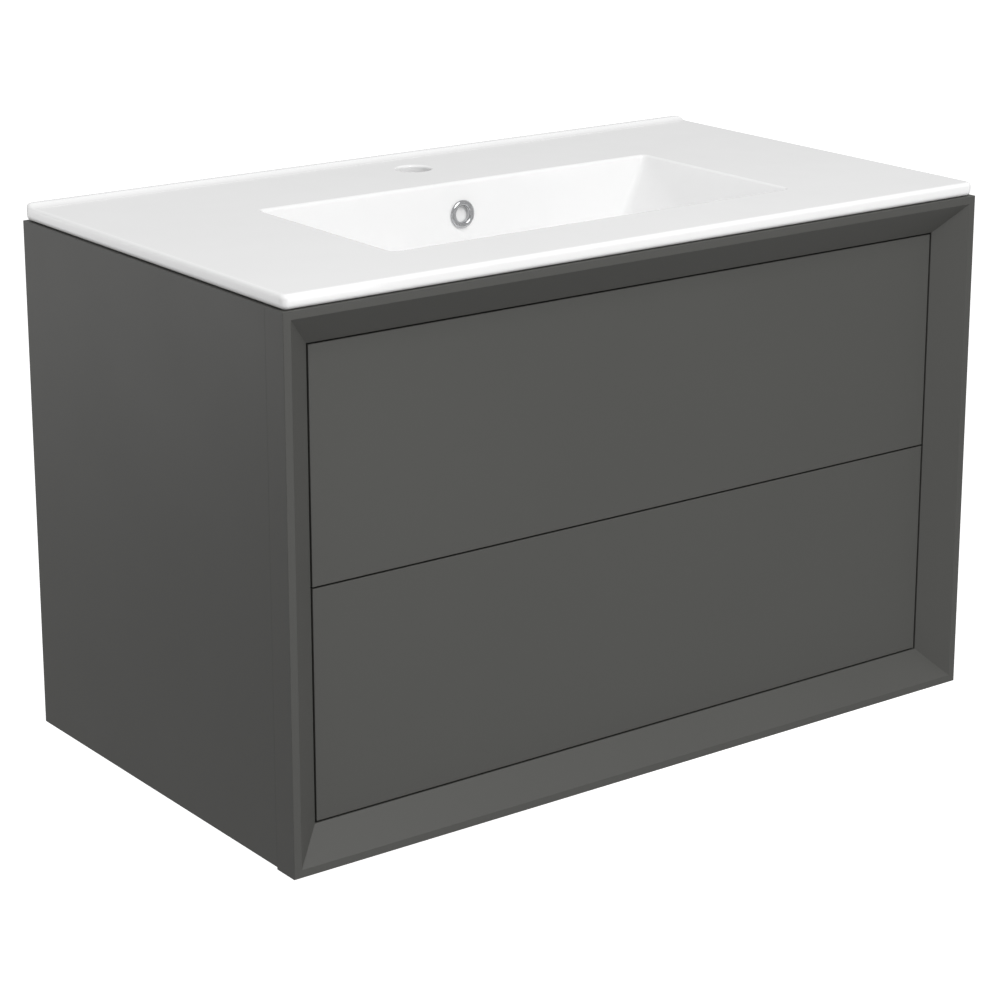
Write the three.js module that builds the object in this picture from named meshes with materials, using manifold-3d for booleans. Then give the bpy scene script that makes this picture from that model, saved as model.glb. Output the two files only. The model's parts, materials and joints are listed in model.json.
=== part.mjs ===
// A wall-hung bathroom vanity: a lacquered cabinet with a mitred, bevelled front frame, two handle-less
// drawers on full-extension runners, and an inset ceramic basin with one tap hole and an overflow.
//
// Millimetres. +X is to the right for someone facing the cabinet, -Y points at them and +Z is up.
// Heights below are counted from the cabinet's underside, and the wall is the plane Y = 0. The finished
// group is lowered so that the origin is the middle of the hanging rail's back face.

import * as THREE from 'three';
import { mergeVertices } from 'three/addons/utils/BufferGeometryUtils.js';
import Module from 'manifold-3d';

// Overall cabinet
const WIDTH = 800;
const HEIGHT = 505;
const DEPTH = 452;
const BOARD = 16;
const FIT = 0.2; // gap kept between boards that meet
const PAST = 1; // how far a cut runs past the faces that it opens
const SIDE_FOOT = 2; // the side panels and the bottom panel end this far above the frame's underside
const SIDES = { left: -1, right: 1 };

// Front frame: a flat lip, then a bevel that slopes in and back to the opening
const FRAME_FACE = 36;
const FRAME_THICK = 28;
const FRAME_LIP = 7.5;
const BEVEL_DEPTH = 22;
const MITRE_GAP = 0.15;

// Drawer fronts, set back to the inner edge of the bevel
const REVEAL = 1.6; // above, between and below the fronts
const SIDE_REVEAL = 2;
const FRONT_THICK = 18;
const OPENING_HALF = WIDTH / 2 - FRAME_FACE;
const OPENING_LOW = FRAME_FACE;
const OPENING_HIGH = HEIGHT - FRAME_FACE;
const FRONT_HEIGHT = (OPENING_HIGH - OPENING_LOW - 3 * REVEAL) / 2;
const FRONT_HALF = OPENING_HALF - SIDE_REVEAL;
const FRONT_FACE_Y = -DEPTH + BEVEL_DEPTH;
const FRONT_BACK_Y = FRONT_FACE_Y + FRONT_THICK;

// Drawer boxes
const BOX_HALF = 350;
const BOX_LENGTH = 350;
const BOX_BOARD = 14;
const BOX_RISE = 5; // the box's underside above the front's lower edge
const BOX_HEIGHT = 114;
const BOX_FLOOR = 8;
const FLOOR_RISE = 6;
const BACK_DROP = 8; // the back board ends this far below the side boards
const BOX_FRONT_Y = FRONT_BACK_Y + FIT;
const BOX_BACK_Y = BOX_FRONT_Y + BOX_LENGTH;
const BOX_INNER_HALF = BOX_HALF - BOX_BOARD - FIT;

// Recess in the upper drawer that clears the basin's trap
const TRAP_HALF = 100;
const TRAP_DEPTH = 248;
const TRAP_WALL = 8;
const TRAP_RADIUS = 40;
const TRAP_HEIGHT = 90;

// Full-extension runners: three nested channels. The outer one is fixed to a packer on the side panel.
const RUNNER_LENGTH = 348;
const RUNNER_FRONT_Y = BOX_FRONT_Y + 2;
const RUNNER_RISE = 50; // middle of the runner above the box's underside
const OUTER_CHANNEL = { web: 362.6, depth: 10.8, height: 45, wall: 1.3 };
const MID_CHANNEL = { web: 360.6, depth: 8.2, height: 39.4, wall: 1.2 };
const INNER_CHANNEL = { web: 350.3, depth: 8.4, height: 34, wall: 1.2 };
const PACKER_HEIGHT = 60;
const PACKER_INNER = OUTER_CHANNEL.web + FIT;

// Carcass rails
const FRONT_RAIL_DEEP = 22;
const FRONT_RAIL_RISE = 1; // above the opening
const FRONT_RAIL_HEIGHT = HEIGHT - OPENING_HIGH - FRONT_RAIL_RISE;
const HANGING_RAIL_HEIGHT = 100;
const HANGING_RAIL_MIDDLE = HEIGHT - HANGING_RAIL_HEIGHT / 2;
const NOTCH_WIDTH = 56;
const NOTCH_HEIGHT = 60;
const LOWER_RAIL_HEIGHT = 80;
const DIVIDER_DEEP = 70;
const DIVIDER_SETBACK = 3; // behind the drawer fronts, which can be pressed in 2 mm
const INNER_HALF = WIDTH / 2 - BOARD - FIT;
const CARCASS_FRONT_Y = -DEPTH + FRAME_THICK + FIT;

// Wall hangers: a housing on each side panel whose hook drops into a J-shaped plate screwed to the wall
const HANGER_WIDTH = 18;
const HANGER_LOW = 445;
const HANGER_HIGH = 500;
const HANGER_FRONT_Y = -66;
const HANGER_BACK_Y = -14;
const HOOK_ROOT = 1; // how far the hook's arm is sunk into the housing
const HOOK_WIDTH = 8;
const HOOK_THICK = 2.8;
const HOOK_TOP = 487;
const HOOK_ARM = 6;
const HOOK_TIP = 471;
const PLATE_THICK = 2.5;
const PLATE_WIDTH = 50;
const PLATE_INSET = 1; // from the inside of the side panel's fitting gap
const PLATE_LOW = 447;
const PLATE_HIGH = 485;
const PLATE_LIP_TOP = 480;
const PLATE_TROUGH = 467.5;
const TROUGH_CLEARANCE = 0.35;

// Basin slab
const BASIN_WIDTH = 797;
const BASIN_FRONT_Y = -450.5;
const BASIN_BACK_Y = -0.5;
const BASIN_LOW = HEIGHT + FIT;
const DECK = 518.5;
const RIM_ROUND = 4;
const RIM_CORNER = 5;
const UPSTAND_RISE = 3.5;
const UPSTAND_TOP = 7.5;
const UPSTAND_FOOT = 18;
const UPSTAND_KNEE = 2; // the sweep's control point, in front of the crest
const UPSTAND_EDGE = 1; // bevel along the wall
const UPSTAND_SINK = 0.1; // how far the foot of the sweep is sunk into the deck

// Bowl, as the inside faces of its mouth and of its floor
const BOWL_DEPTH = 110;
const BOWL_WALL = 9;
const BOWL_CORNER = 8;
const BOWL_MOUTH = { half: 232, front: -366, back: -148 };
const BOWL_FLOOR = { half: 178, front: -346, back: -153 };
const BOWL_FALL = 4; // fall of the floor to the outlet
const FALL_RADIUS = 80;
const OUTLET_Y = (BOWL_FLOOR.front + BOWL_FLOOR.back) / 2;
const OUTLET_RADIUS = 23;
const OUTLET_BOSS_RADIUS = 36;
const OUTLET_LOW = 386;
const TAP_HOLE_RADIUS = 17.5;
const TAP_HOLE_Y = -67;

// Overflow: a chrome ring in the bowl's back wall, and the passage behind it down to the outlet
const OVERFLOW_HEIGHT = 486;
const OVERFLOW_HOLE_RADIUS = 10;
const OVERFLOW_WALL = 7;
const PASSAGE_HALF = 18;
const PASSAGE_DEEP = 12;
const PASSAGE_LOW = 391;
const PASSAGE_FLOOR_HIGH = 398;
const RING = { flange: 13.9, bore: 8, sleeve: 9.7, proud: 2.8, length: 13 };
const RING_OUTER_EDGE = { drop: 1.2, low: 0.4, high: 0.85 }; // low and high are shares of how proud it is
const RING_INNER_EDGE = { drop: 1, low: 0.3, high: 0.7 };
const RING_STANDOFF = 0.3;

const ROUND_SEGMENTS = 32;
const CORNER_SEGMENTS = { trap: 8, sweep: 5, bowl: 4, rimPlan: 4, rimEdge: 3 };

const LACQUER = { color: 0x585855, roughness: 0.55, metalness: 0 };
const CARCASS = { color: 0x5e5e5b, roughness: 0.6, metalness: 0 };
const CERAMIC = { color: 0xf3f3f1, roughness: 0.08, metalness: 0 };
const CHROME = { color: 0xd4d6d9, roughness: 0.1, metalness: 1 };
const STEEL = { color: 0xaeb2b6, roughness: 0.35, metalness: 1 };
const DRAWER_BOX = { color: 0xb7b5b0, roughness: 0.6, metalness: 0 };
const PLASTIC = { color: 0x85878a, roughness: 0.5, metalness: 0 };

const wasm = await Module();
wasm.setup();

const vanity = new THREE.Group();

function addMesh(name, geometry, finish) {
  const mesh = new THREE.Mesh(geometry, new THREE.MeshStandardMaterial(finish));
  mesh.name = name;
  vanity.add(mesh);
  return mesh;
}

function boxBetween([x0, x1], [y0, y1], [z0, z1]) {
  const geometry = new THREE.BoxGeometry(Math.abs(x1 - x0), Math.abs(y1 - y0), Math.abs(z1 - z0));
  return geometry.translate((x0 + x1) / 2, (y0 + y1) / 2, (z0 + z1) / 2);
}

function addBoard(name, finish, xSpan, ySpan, zSpan) {
  return addMesh(name, boxBetween(xSpan, ySpan, zSpan), finish);
}

// A polygon from a list of corner points.
function outline(points) {
  return new THREE.Shape(points.map(([u, v]) => new THREE.Vector2(u, v)));
}

// A rectangle between two corners, with rounded corners.
function roundedRectangle([x0, x1], [y0, y1], radius) {
  const shape = new THREE.Shape();
  shape.absarc(x1 - radius, y0 + radius, radius, -Math.PI / 2, 0);
  shape.absarc(x1 - radius, y1 - radius, radius, 0, Math.PI / 2);
  shape.absarc(x0 + radius, y1 - radius, radius, Math.PI / 2, Math.PI);
  shape.absarc(x0 + radius, y0 + radius, radius, Math.PI, 1.5 * Math.PI);
  return shape;
}

// Extrudes a shape drawn in X and Y upwards between two heights.
function extrudeUp(shape, [z0, z1], curveSegments) {
  const options = { depth: z1 - z0, bevelEnabled: false, curveSegments };
  return new THREE.ExtrudeGeometry(shape, options).translate(0, 0, z0);
}

// Extrudes a shape drawn in X and Z along Y.
function extrudeBack(shape, [y0, y1]) {
  const geometry = new THREE.ExtrudeGeometry(shape, { depth: y1 - y0, bevelEnabled: false });
  return geometry.rotateX(Math.PI / 2).translate(0, y1, 0);
}

// Extrudes a shape drawn in Y and Z along X.
function extrudeAcross(shape, [x0, x1]) {
  const options = { depth: x1 - x0, bevelEnabled: false, curveSegments: CORNER_SEGMENTS.sweep };
  const geometry = new THREE.ExtrudeGeometry(shape, options);
  const turn = new THREE.Matrix4().makeBasis(
    new THREE.Vector3(0, 1, 0),
    new THREE.Vector3(0, 0, 1),
    new THREE.Vector3(1, 0, 0),
  );
  return geometry.applyMatrix4(turn).translate(x0, 0, 0);
}

function cylinderUp(radius, y, [z0, z1]) {
  const geometry = new THREE.CylinderGeometry(radius, radius, z1 - z0, ROUND_SEGMENTS);
  return geometry.rotateX(Math.PI / 2).translate(0, y, (z0 + z1) / 2);
}

function toSolid(geometry) {
  const bare = geometry.clone();
  bare.deleteAttribute('normal');
  bare.deleteAttribute('uv');
  const merged = mergeVertices(bare);
  return new wasm.Manifold(new wasm.Mesh({
    numProp: 3,
    vertProperties: new Float32Array(merged.attributes.position.array),
    triVerts: new Uint32Array(merged.index.array),
  }));
}

function toGeometry(solid) {
  const { vertProperties, triVerts } = solid.getMesh();
  const geometry = new THREE.BufferGeometry();
  geometry.setAttribute('position', new THREE.BufferAttribute(vertProperties, 3));
  geometry.setIndex(new THREE.BufferAttribute(triVerts, 1));
  geometry.computeVertexNormals();
  return geometry;
}

// Joins the added geometries and cuts the removed ones away.
function carve({ add, remove }) {
  const joined = add.map(toSolid).reduce((whole, piece) => whole.add(piece));
  return toGeometry(remove.map(toSolid).reduce((whole, piece) => whole.subtract(piece), joined));
}

// Carcass: side panels, bottom, front rail, the rail between the drawers and the two rails at the wall.
function addCarcass() {
  const lowest = SIDE_FOOT;
  for (const [side, sign] of Object.entries(SIDES)) {
    const panel = [sign * (WIDTH / 2 - BOARD), (sign * WIDTH) / 2];
    addBoard(`side_panel_${side}`, LACQUER, panel, [CARCASS_FRONT_Y, 0], [lowest, HEIGHT]);
  }
  const across = [-INNER_HALF, INNER_HALF];
  const panelTop = lowest + BOARD;
  addBoard('bottom_panel', CARCASS, across, [CARCASS_FRONT_Y, 0], [lowest, panelTop]);
  const frontRail = [CARCASS_FRONT_Y, CARCASS_FRONT_Y + FRONT_RAIL_DEEP];
  addBoard('front_rail', CARCASS, across, frontRail, [HEIGHT - FRONT_RAIL_HEIGHT, HEIGHT]);
  const lowerRail = [panelTop + FIT, panelTop + FIT + LOWER_RAIL_HEIGHT];
  addBoard('lower_back_rail', CARCASS, across, [-BOARD, 0], lowerRail);
  const dividerFront = FRONT_BACK_Y + DIVIDER_SETBACK;
  const dividerTop = OPENING_LOW + 2 * REVEAL + FRONT_HEIGHT;
  const divider = [dividerFront, dividerFront + DIVIDER_DEEP];
  addBoard('divider_rail', CARCASS, across, divider, [dividerTop - BOARD, dividerTop]);
  addHangingRail();
}

// The rail that carries the cabinet, notched at its top corners for the wall hangers.
function addHangingRail() {
  const low = HEIGHT - HANGING_RAIL_HEIGHT;
  const shoulder = HEIGHT - NOTCH_HEIGHT;
  const neck = INNER_HALF - NOTCH_WIDTH;
  const shape = outline([
    [-INNER_HALF, low],
    [INNER_HALF, low],
    [INNER_HALF, shoulder],
    [neck, shoulder],
    [neck, HEIGHT],
    [-neck, HEIGHT],
    [-neck, shoulder],
    [-INNER_HALF, shoulder],
  ]);
  addMesh('hanging_rail', extrudeBack(shape, [-BOARD, 0]), CARCASS);
}

// One side of the front frame. The section is drawn as distance in from the outer edge and depth behind
// the front, and each end is cut back by the distance in, which makes the 45 degree mitre.
function addFrameSide(name, inward, length, outerEdge) {
  const section = outline([
    [0, 0],
    [FRAME_LIP, 0],
    [FRAME_FACE, BEVEL_DEPTH],
    [FRAME_FACE, FRAME_THICK],
    [0, FRAME_THICK],
  ]);
  const geometry = new THREE.ExtrudeGeometry(section, { depth: length, bevelEnabled: false });
  geometry.translate(0, 0, -length / 2);
  const points = geometry.attributes.position;
  for (let i = 0; i < points.count; i += 1) {
    const along = points.getZ(i);
    points.setZ(i, along - Math.sign(along) * (points.getX(i) + MITRE_GAP));
  }
  const back = new THREE.Vector3(0, 1, 0);
  const run = new THREE.Vector3().crossVectors(inward, back);
  geometry.applyMatrix4(new THREE.Matrix4().makeBasis(inward, back, run));
  geometry.translate(outerEdge.x, -DEPTH, outerEdge.y);
  addMesh(name, geometry, LACQUER);
}

function addFrame() {
  const middle = HEIGHT / 2;
  const edge = WIDTH / 2;
  addFrameSide('frame_top', new THREE.Vector3(0, 0, -1), WIDTH, new THREE.Vector2(0, HEIGHT));
  addFrameSide('frame_bottom', new THREE.Vector3(0, 0, 1), WIDTH, new THREE.Vector2(0, 0));
  addFrameSide('frame_left', new THREE.Vector3(1, 0, 0), HEIGHT, new THREE.Vector2(-edge, middle));
  addFrameSide('frame_right', new THREE.Vector3(-1, 0, 0), HEIGHT, new THREE.Vector2(edge, middle));
}

// A rolled steel channel lying along Y. The web is at one X, and the flanges reach from it by depth.
function channelGeometry(sign, reach, { web, depth, height, wall }, middle) {
  const back = sign * web;
  const face = sign * (web + reach * wall);
  const lips = sign * (web + reach * depth);
  const [low, high] = [middle - height / 2, middle + height / 2];
  const shape = outline([
    [back, low],
    [lips, low],
    [lips, low + wall],
    [face, low + wall],
    [face, high - wall],
    [lips, high - wall],
    [lips, high],
    [back, high],
  ]);
  return extrudeBack(shape, [RUNNER_FRONT_Y, RUNNER_FRONT_Y + RUNNER_LENGTH]);
}

// The packer and the three members of each of a drawer's two runners.
function addRunners(drawer, boxLow) {
  const middle = boxLow + RUNNER_RISE;
  const packer = [middle - PACKER_HEIGHT / 2, middle + PACKER_HEIGHT / 2];
  const along = [RUNNER_FRONT_Y, RUNNER_FRONT_Y + RUNNER_LENGTH];
  for (const [side, sign] of Object.entries(SIDES)) {
    const label = `${drawer}_${side}`;
    addBoard(`runner_packer_${label}`, CARCASS, [sign * PACKER_INNER, sign * INNER_HALF], along, packer);
    addMesh(`runner_outer_${label}`, channelGeometry(sign, -1, OUTER_CHANNEL, middle), STEEL);
    addMesh(`runner_mid_${label}`, channelGeometry(sign, -1, MID_CHANNEL, middle), STEEL);
    addMesh(`runner_inner_${label}`, channelGeometry(sign, 1, INNER_CHANNEL, middle), STEEL);
  }
}

// The front and the two side boards, which both drawers share.
function addDrawerFrontAndSides(drawer, frontLow) {
  const boxLow = frontLow + BOX_RISE;
  const frontSpan = [frontLow, frontLow + FRONT_HEIGHT];
  addBoard(`${drawer}_front`, LACQUER, [-FRONT_HALF, FRONT_HALF], [FRONT_FACE_Y, FRONT_BACK_Y], frontSpan);
  for (const [side, sign] of Object.entries(SIDES)) {
    const across = [sign * (BOX_HALF - BOX_BOARD), sign * BOX_HALF];
    addBoard(`${drawer}_side_${side}`, DRAWER_BOX, across, [BOX_FRONT_Y, BOX_BACK_Y],
      [boxLow, boxLow + BOX_HEIGHT]);
  }
}

// The heights of a drawer's floor board and of the back board that stands on it.
function floorAndBack(frontLow) {
  const floorLow = frontLow + BOX_RISE + FLOOR_RISE;
  const floorHigh = floorLow + BOX_FLOOR;
  const backHigh = frontLow + BOX_RISE + BOX_HEIGHT - BACK_DROP;
  return { floor: [floorLow, floorHigh], back: [floorHigh + FIT, backHigh] };
}

function addLowerDrawer(frontLow) {
  const { floor, back } = floorAndBack(frontLow);
  const across = [-BOX_INNER_HALF, BOX_INNER_HALF];
  addDrawerFrontAndSides('lower', frontLow);
  addBoard('lower_floor', DRAWER_BOX, across, [BOX_FRONT_Y, BOX_BACK_Y], floor);
  addBoard('lower_back', DRAWER_BOX, across, [BOX_BACK_Y - BOX_BOARD, BOX_BACK_Y], back);
  addRunners('lower', frontLow + BOX_RISE);
}

// A U open towards the wall, drawn in X and Y: one half width, the depth of the U and its corner radius.
function trapOutline(half, front, radius, back) {
  const shape = new THREE.Shape();
  shape.moveTo(half, back);
  shape.lineTo(-half, back);
  shape.absarc(-half + radius, front + radius, radius, Math.PI, 1.5 * Math.PI);
  shape.absarc(half - radius, front + radius, radius, 1.5 * Math.PI, 2 * Math.PI);
  return shape;
}

function addUpperDrawer(frontLow) {
  const { floor, back } = floorAndBack(frontLow);
  const trapFront = BOX_BACK_Y - TRAP_DEPTH;
  const past = BOX_BACK_Y + BOX_BOARD;
  addDrawerFrontAndSides('upper', frontLow);
  const panel = boxBetween([-BOX_INNER_HALF, BOX_INNER_HALF], [BOX_FRONT_Y, BOX_BACK_Y], floor);
  const cutOutline = trapOutline(TRAP_HALF + FIT, trapFront - FIT, TRAP_RADIUS + FIT, past);
  const cut = extrudeUp(cutOutline, [floor[0] - PAST, floor[1] + PAST], CORNER_SEGMENTS.trap);
  addMesh('upper_floor', carve({ add: [panel], remove: [cut] }), DRAWER_BOX);
  for (const [side, sign] of Object.entries(SIDES)) {
    const across = [sign * (TRAP_HALF + FIT), sign * BOX_INNER_HALF];
    addBoard(`upper_back_${side}`, DRAWER_BOX, across, [BOX_BACK_Y - BOX_BOARD, BOX_BACK_Y], back);
  }
  addTrapSurround(trapFront, floor[0]);
  addRunners('upper', frontLow + BOX_RISE);
}

// The U-shaped wall that keeps the drawer's contents clear of the trap.
function addTrapSurround(trapFront, low) {
  const inner = trapOutline(TRAP_HALF - TRAP_WALL, trapFront + TRAP_WALL, TRAP_RADIUS - TRAP_WALL,
    BOX_BACK_Y + BOX_BOARD);
  const outer = trapOutline(TRAP_HALF, trapFront, TRAP_RADIUS, BOX_BACK_Y);
  const span = [low, low + TRAP_HEIGHT];
  const wall = carve({
    add: [extrudeUp(outer, span, CORNER_SEGMENTS.trap)],
    remove: [extrudeUp(inner, [span[0] - PAST, span[1] + PAST], CORNER_SEGMENTS.trap)],
  });
  addMesh('trap_surround', wall, PLASTIC);
}

// The hook's arm reaches back through the rail's notch and its tip hangs in the wall plate's trough.
function hookOutline() {
  const tipBack = -PLATE_THICK - TROUGH_CLEARANCE;
  const tipFront = tipBack - HOOK_THICK;
  const root = HANGER_BACK_Y - HOOK_ROOT;
  return outline([
    [root, HOOK_TOP - HOOK_ARM],
    [tipFront, HOOK_TOP - HOOK_ARM],
    [tipFront, HOOK_TIP],
    [tipBack, HOOK_TIP],
    [tipBack, HOOK_TOP],
    [root, HOOK_TOP],
  ]);
}

function wallPlateOutline() {
  const lipBack = -PLATE_THICK - 2 * TROUGH_CLEARANCE - HOOK_THICK;
  const lipFront = lipBack - PLATE_THICK;
  return outline([
    [0, PLATE_LOW],
    [0, PLATE_HIGH],
    [-PLATE_THICK, PLATE_HIGH],
    [-PLATE_THICK, PLATE_TROUGH + PLATE_THICK],
    [lipBack, PLATE_TROUGH + PLATE_THICK],
    [lipBack, PLATE_LIP_TOP],
    [lipFront, PLATE_LIP_TOP],
    [lipFront, PLATE_TROUGH],
    [-PLATE_THICK, PLATE_TROUGH],
    [-PLATE_THICK, PLATE_LOW],
  ]);
}

function addHangers() {
  for (const [side, sign] of Object.entries(SIDES)) {
    const inner = INNER_HALF - HANGER_WIDTH;
    const middle = (INNER_HALF + inner) / 2;
    const housing = boxBetween([sign * inner, sign * INNER_HALF], [HANGER_FRONT_Y, HANGER_BACK_Y],
      [HANGER_LOW, HANGER_HIGH]);
    const hookSpan = [sign * middle - HOOK_WIDTH / 2, sign * middle + HOOK_WIDTH / 2];
    const hook = extrudeAcross(hookOutline(), hookSpan);
    addMesh(`hanger_${side}`, carve({ add: [housing, hook], remove: [] }), STEEL);
    const plateMiddle = sign * (INNER_HALF - PLATE_INSET - PLATE_WIDTH / 2);
    const plateSpan = [plateMiddle - PLATE_WIDTH / 2, plateMiddle + PLATE_WIDTH / 2];
    addMesh(`wall_plate_${side}`, extrudeAcross(wallPlateOutline(), plateSpan), STEEL);
  }
}

// A tub whose plan changes evenly from one rectangle at the bottom to another at the top.
function tub(top, bottom, [z0, z1]) {
  const plan = roundedRectangle([-top.half, top.half], [top.front, top.back], BOWL_CORNER);
  const geometry = extrudeUp(plan, [z0, z1], CORNER_SEGMENTS.bowl);
  const points = geometry.attributes.position;
  const shrink = (bottom.back - bottom.front) / (top.back - top.front);
  for (let i = 0; i < points.count; i += 1) {
    if (points.getZ(i) < (z0 + z1) / 2) {
      points.setX(i, (points.getX(i) * bottom.half) / top.half);
      points.setY(i, bottom.front + (points.getY(i) - top.front) * shrink);
    }
  }
  return geometry;
}

function grown({ half, front, back }, by) {
  return { half: half + by, front: front - by, back: back + by };
}

// The flat slab with its rounded rim.
function slabGeometry() {
  const half = BASIN_WIDTH / 2;
  const plan = roundedRectangle([-half, half], [BASIN_FRONT_Y, BASIN_BACK_Y], RIM_CORNER + RIM_ROUND);
  const geometry = new THREE.ExtrudeGeometry(plan, {
    depth: DECK - BASIN_LOW - 2 * RIM_ROUND,
    bevelThickness: RIM_ROUND,
    bevelSize: RIM_ROUND,
    bevelOffset: -RIM_ROUND,
    bevelSegments: CORNER_SEGMENTS.rimEdge,
    curveSegments: CORNER_SEGMENTS.rimPlan,
  });
  return geometry.translate(0, 0, BASIN_LOW + RIM_ROUND);
}

// The low ridge along the wall, which falls to the deck in a concave sweep.
function upstandGeometry() {
  const low = DECK - RIM_ROUND - UPSTAND_EDGE;
  const top = DECK + UPSTAND_RISE;
  const crest = BASIN_BACK_Y - UPSTAND_TOP;
  const foot = BASIN_BACK_Y - UPSTAND_FOOT;
  const shape = new THREE.Shape();
  shape.moveTo(foot, low);
  shape.lineTo(BASIN_BACK_Y, low);
  shape.lineTo(BASIN_BACK_Y, top - UPSTAND_EDGE);
  shape.lineTo(BASIN_BACK_Y - UPSTAND_EDGE, top);
  shape.lineTo(crest, top);
  shape.quadraticCurveTo(crest - UPSTAND_KNEE, DECK, foot, DECK - UPSTAND_SINK);
  const half = BASIN_WIDTH / 2 - RIM_ROUND / 2;
  return extrudeAcross(shape, [-half, half]);
}

// A shallow dish that drains the floor to the outlet.
function floorFall(floorHeight) {
  const profile = [
    new THREE.Vector2(0, -BOWL_FALL),
    new THREE.Vector2(OUTLET_RADIUS, -BOWL_FALL),
    new THREE.Vector2(FALL_RADIUS, 0),
    new THREE.Vector2(FALL_RADIUS, PAST),
    new THREE.Vector2(0, PAST),
  ];
  const geometry = new THREE.LatheGeometry(profile, ROUND_SEGMENTS);
  return geometry.rotateX(Math.PI / 2).translate(0, OUTLET_Y, floorHeight);
}

// The bowl's back wall leans by this angle, and the overflow ring leans with it.
const BACK_LEAN = Math.atan2(BOWL_MOUTH.back - BOWL_FLOOR.back, BOWL_DEPTH);

function wallYAt(height) {
  return BOWL_MOUTH.back - (DECK - height) * Math.tan(BACK_LEAN);
}

function addBasin() {
  const floorHeight = DECK - BOWL_DEPTH;
  const shellLow = floorHeight - BOWL_WALL;
  const passageFront = wallYAt(OVERFLOW_HEIGHT) + OVERFLOW_WALL;
  const passageBack = passageFront + PASSAGE_DEEP;
  const wallHalf = PASSAGE_HALF + OVERFLOW_WALL;
  const cavity = tub(BOWL_MOUTH, BOWL_FLOOR, [floorHeight, DECK]);
  const skirt = tub(grown(BOWL_MOUTH, BOWL_WALL), grown(BOWL_FLOOR, BOWL_WALL), [shellLow, DECK - PAST]);
  const mouth = tub(BOWL_MOUTH, BOWL_MOUTH, [DECK - PAST / 2, DECK + PAST]);
  const passageEnd = passageBack + OVERFLOW_WALL;
  const add = [
    slabGeometry(),
    upstandGeometry(),
    skirt,
    cylinderUp(OUTLET_BOSS_RADIUS, OUTLET_Y, [OUTLET_LOW, floorHeight - 2 * PAST]),
    boxBetween([-wallHalf, wallHalf], [BOWL_FLOOR.back, passageEnd], [OUTLET_LOW, DECK - PAST]),
    boxBetween([-wallHalf, wallHalf], [OUTLET_Y, passageEnd], [OUTLET_LOW, shellLow + PAST]),
  ];
  const overflow = new THREE.CylinderGeometry(OVERFLOW_HOLE_RADIUS, OVERFLOW_HOLE_RADIUS,
    2 * (OVERFLOW_WALL + 2 * PAST), ROUND_SEGMENTS);
  overflow.rotateX(-BACK_LEAN).translate(0, wallYAt(OVERFLOW_HEIGHT), OVERFLOW_HEIGHT);
  const passage = [-PASSAGE_HALF, PASSAGE_HALF];
  const passageTop = OVERFLOW_HEIGHT + OVERFLOW_HOLE_RADIUS + PAST;
  const remove = [
    cavity,
    mouth,
    floorFall(floorHeight),
    cylinderUp(OUTLET_RADIUS, OUTLET_Y, [OUTLET_LOW - PAST, DECK]),
    cylinderUp(TAP_HOLE_RADIUS, TAP_HOLE_Y, [BASIN_LOW - PAST, DECK + PAST]),
    overflow,
    boxBetween(passage, [passageFront, passageBack], [PASSAGE_LOW, passageTop]),
    boxBetween(passage, [OUTLET_Y, passageBack], [PASSAGE_LOW, PASSAGE_FLOOR_HIGH]),
  ];
  addMesh('basin', carve({ add, remove }), CERAMIC);
}

// A flanged chrome sleeve pressed into the overflow hole, its axis square to the bowl's back wall.
function addOverflowRing() {
  const { flange, bore, sleeve, proud, length } = RING;
  const profile = [
    new THREE.Vector2(bore, -length),
    new THREE.Vector2(sleeve, -length),
    new THREE.Vector2(sleeve, 0),
    new THREE.Vector2(flange, 0),
    new THREE.Vector2(flange, proud * RING_OUTER_EDGE.low),
    new THREE.Vector2(flange - RING_OUTER_EDGE.drop, proud * RING_OUTER_EDGE.high),
    new THREE.Vector2((flange + bore) / 2, proud),
    new THREE.Vector2(bore + RING_INNER_EDGE.drop, proud * RING_INNER_EDGE.high),
    new THREE.Vector2(bore, proud * RING_INNER_EDGE.low),
    new THREE.Vector2(bore, -length),
  ];
  const ring = addMesh('overflow_ring', new THREE.LatheGeometry(profile, ROUND_SEGMENTS), CHROME);
  ring.rotation.x = Math.PI - BACK_LEAN;
  ring.position.set(0, wallYAt(OVERFLOW_HEIGHT) - RING_STANDOFF, OVERFLOW_HEIGHT);
}

addCarcass();
addFrame();
addLowerDrawer(OPENING_LOW + REVEAL);
addUpperDrawer(OPENING_LOW + 2 * REVEAL + FRONT_HEIGHT);
addHangers();
addBasin();
addOverflowRing();

vanity.position.z = -HANGING_RAIL_MIDDLE;

export default vanity;
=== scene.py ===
"""A wall-hung bathroom vanity: matte anthracite cabinet with a bevelled frame, two handle-less drawers and
a white ceramic basin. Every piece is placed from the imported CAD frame, in metres."""

import json
import math

import bmesh
import bpy
from mathutils import Matrix, Vector


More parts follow.
